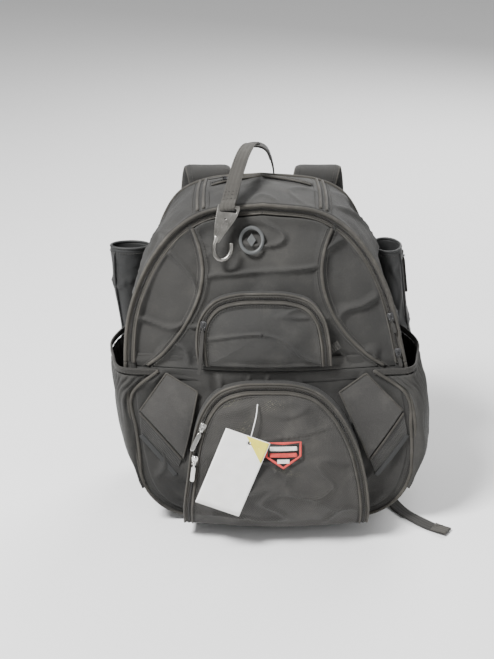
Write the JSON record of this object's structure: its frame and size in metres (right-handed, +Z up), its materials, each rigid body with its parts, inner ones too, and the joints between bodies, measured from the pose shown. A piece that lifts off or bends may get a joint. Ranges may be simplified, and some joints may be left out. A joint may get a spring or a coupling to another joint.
{
  "type": "racket backpack",
  "caption": "Standing fabric racket backpack with hinged front flap, zip pockets, two racket sleeves, bottle pockets, shoulder straps and a fence hook.",
  "frame": {"origin": "middle of the flat base, on the plane it stands on", "axes": "+Z up, front faces -Y, +X to the right as seen from the front"},
  "size_m": [0.478, 0.3035, 0.5041],
  "materials": {
    "canvas": "matte woven nylon",
    "ripstop": "matte textured nylon",
    "neoprene": "smooth coated fabric",
    "mesh": "open knit mesh",
    "tape": "zip tape and teeth",
    "webbing": "ribbed webbing",
    "foam": "padded fabric",
    "nylon": "satin",
    "steel": "satin plated metal",
    "card": "matte card"
  },
  "bodies": {
    "pack": {"base_panel": "canvas", "right_gusset": "canvas", "left_gusset": "canvas", "top_panel": "canvas", "back_panel": "foam", "back_pad_left": "mesh", "back_pad_right": "mesh", "lower_front_panel": "canvas", "main_zip": "tape", "edge_piping": "tape", "lower_pocket_wall": "canvas", "lower_pocket_zip": "tape", "wing_panel_left": "ripstop", "mesh_vent_left": "mesh", "wing_panel_right": "ripstop", "mesh_vent_right": "mesh", "racket_sleeve_right": "neoprene", "racket_sleeve_left": "neoprene", "bottle_pocket_left": "mesh", "bottle_rim_left": "webbing", "bottle_pocket_right": "mesh", "bottle_rim_right": "webbing", "top_pocket_zip": "tape", "sleeve_zip": "tape", "strap_webbing_left": "webbing", "strap_webbing_right": "webbing", "webbing_tail": "webbing"},
    "front_flap": {"flap_middle_panel": "ripstop", "flap_side_panel_left": "canvas", "flap_side_panel_right": "canvas", "flap_piping_left": "tape", "flap_piping_right": "tape", "upper_pocket_wall": "canvas", "upper_pocket_zip": "tape"},
    "upper_pocket_cover": {"upper_pocket_cover": "ripstop"},
    "lower_pocket_cover": {"lower_pocket_cover": "ripstop", "tag_pin": "card"},
    "hang_tag": {"hang_tag": "card"},
    "haul_loop": {"haul_loop": "webbing"},
    "hook_strap": {"hook_strap": "webbing"},
    "fence_hook": {"fence_hook": "steel"},
    "shoulder_strap_left": {"shoulder_strap_left": "foam", "ladder_buckle_left": "nylon"},
    "shoulder_strap_right": {"shoulder_strap_right": "foam", "ladder_buckle_right": "nylon"},
    "main_lower_slider": {"main_lower_slider": "nylon"},
    "main_lower_pull": {"main_lower_pull": "nylon"},
    "main_upper_slider": {"main_upper_slider": "nylon"},
    "main_upper_pull": {"main_upper_pull": "nylon"},
    "upper_pocket_slider": {"upper_pocket_slider": "nylon"},
    "upper_pocket_pull": {"upper_pocket_pull": "nylon"},
    "lower_pocket_top_slider": {"lower_pocket_top_slider": "steel"},
    "lower_pocket_top_pull": {"lower_pocket_top_pull": "steel"},
    "lower_pocket_bottom_slider": {"lower_pocket_bottom_slider": "steel"},
    "lower_pocket_bottom_pull": {"lower_pocket_bottom_pull": "steel"},
    "top_pocket_slider": {"top_pocket_slider": "nylon"},
    "top_pocket_pull": {"top_pocket_pull": "nylon"},
    "sleeve_slider": {"sleeve_slider": "nylon"},
    "sleeve_pull": {"sleeve_pull": "nylon"}
  },
  "joints": [
    {"name": "flap_fold", "type": "hinge", "parent": "pack", "child": "front_flap", "pos_m": [0, -0.0948, 0.237], "axis": [1, 0, 0], "range_deg": [0, 45]},
    {"name": "upper_cover_fold", "type": "hinge", "parent": "front_flap", "child": "upper_pocket_cover", "pos_m": [0, -0.0985, 0.2458], "axis": [1, 0, 0], "range_deg": [0, 35]},
    {"name": "lower_cover_fold", "type": "hinge", "parent": "pack", "child": "lower_pocket_cover", "pos_m": [0, -0.1405, 0.0212], "axis": [1, 0, 0], "range_deg": [0, 50]},
    {"name": "tag_swing", "type": "hinge", "parent": "lower_pocket_cover", "child": "hang_tag", "pos_m": [-0.036, -0.159, 0.166], "axis": [-1, 0, 0], "range_deg": [0, 25]},
    {"name": "haul_loop_tilt", "type": "hinge", "parent": "pack", "child": "haul_loop", "pos_m": [0, 0.104, 0.431], "axis": [-1, 0, 0], "range_deg": [0, 60]},
    {"name": "hook_strap_lift", "type": "hinge", "parent": "haul_loop", "child": "hook_strap", "pos_m": [-0.031, 0.0925, 0.494], "axis": [-1, 0, 0], "range_deg": [0, 135]},
    {"name": "hook_swing", "type": "hinge", "parent": "hook_strap", "child": "fence_hook", "pos_m": [-0.064, -0.031, 0.447], "axis": [-0.9945, 0, 0.1045], "range_deg": [0, 75]},
    {"name": "shoulder_strap_left_swing", "type": "hinge", "parent": "pack", "child": "shoulder_strap_left", "pos_m": [0, 0.1, 0.442], "axis": [1, 0, 0], "range_deg": [0, 28]},
    {"name": "shoulder_strap_right_swing", "type": "hinge", "parent": "pack", "child": "shoulder_strap_right", "pos_m": [0, 0.1, 0.442], "axis": [1, 0, 0], "range_deg": [0, 28]},
    {"name": "main_lower_slide", "type": "slide", "parent": "pack", "child": "main_lower_slider", "axis": [-0.2187, 0.2921, 0.9311], "range_m": [0, 0.012]},
    {"name": "main_lower_pull_swing", "type": "hinge", "parent": "main_lower_slider", "child": "main_lower_pull", "pos_m": [0.16364, -0.07758, 0.25309], "axis": [-0.9735, 0, -0.2286], "range_deg": [0, 120]},
    {"name": "main_upper_slide", "type": "slide", "parent": "pack", "child": "main_upper_slider", "axis": [-0.2912, 0.2858, 0.913], "range_m": [0, 0.035]},
    {"name": "main_upper_pull_swing", "type": "hinge", "parent": "main_upper_slider", "child": "main_upper_pull", "pos_m": [0.15308, -0.06299, 0.2987], "axis": [-0.9527, 0, -0.3039], "range_deg": [0, 120]},
    {"name": "upper_pocket_slide", "type": "slide", "parent": "front_flap", "child": "upper_pocket_slider", "axis": [0.0815, 0.2643, 0.961], "range_m": [-0.033, 0]},
    {"name": "upper_pocket_pull_swing", "type": "hinge", "parent": "upper_pocket_slider", "child": "upper_pocket_pull", "pos_m": [-0.09812, -0.08896, 0.29764], "axis": [-0.9893, 0.1385, 0.0458], "range_deg": [0, 120]},
    {"name": "lower_pocket_top_slide", "type": "slide", "parent": "pack", "child": "lower_pocket_top_slider", "axis": [0.4319, 0.3224, 0.8423], "range_m": [0, 0.023]},
    {"name": "lower_pocket_top_pull_swing", "type": "hinge", "parent": "lower_pocket_top_slider", "child": "lower_pocket_top_pull", "pos_m": [-0.10078, -0.13443, 0.17038], "axis": [-0.9015, 0.1262, 0.414], "range_deg": [0, 120]},
    {"name": "lower_pocket_bottom_slide", "type": "slide", "parent": "pack", "child": "lower_pocket_bottom_slider", "axis": [0.1223, 0.1813, 0.9758], "range_m": [-0.024, 0]},
    {"name": "lower_pocket_bottom_pull_swing", "type": "hinge", "parent": "lower_pocket_bottom_slider", "child": "lower_pocket_bottom_pull", "pos_m": [-0.11042, -0.14669, 0.12712], "axis": [-0.9856, 0.138, 0.0978], "range_deg": [0, 120]},
    {"name": "top_pocket_slide", "type": "slide", "parent": "pack", "child": "top_pocket_slider", "axis": [0.9274, 0.3714, 0.046], "range_m": [0, 0.017]},
    {"name": "top_pocket_pull_swing", "type": "hinge", "parent": "top_pocket_slider", "child": "top_pocket_pull", "pos_m": [-0.07097, 0.0629, 0.45825], "axis": [-0.3663, 0.926, -0.0916], "range_deg": [0, 120]},
    {"name": "sleeve_slide", "type": "slide", "parent": "pack", "child": "sleeve_slider", "axis": [-0.1355, 0.0026, 0.9908], "range_m": [-0.07, 0]},
    {"name": "sleeve_pull_swing", "type": "hinge", "parent": "sleeve_slider", "child": "sleeve_pull", "pos_m": [0.18368, 0.08387, 0.33459], "axis": [0.6134, -0.7851, 0.0859], "range_deg": [0, 120]}
  ],
  "couplings": [
    {"joint": "hook_strap_lift", "follows": "flap_fold", "ratio": 3}
  ]
}
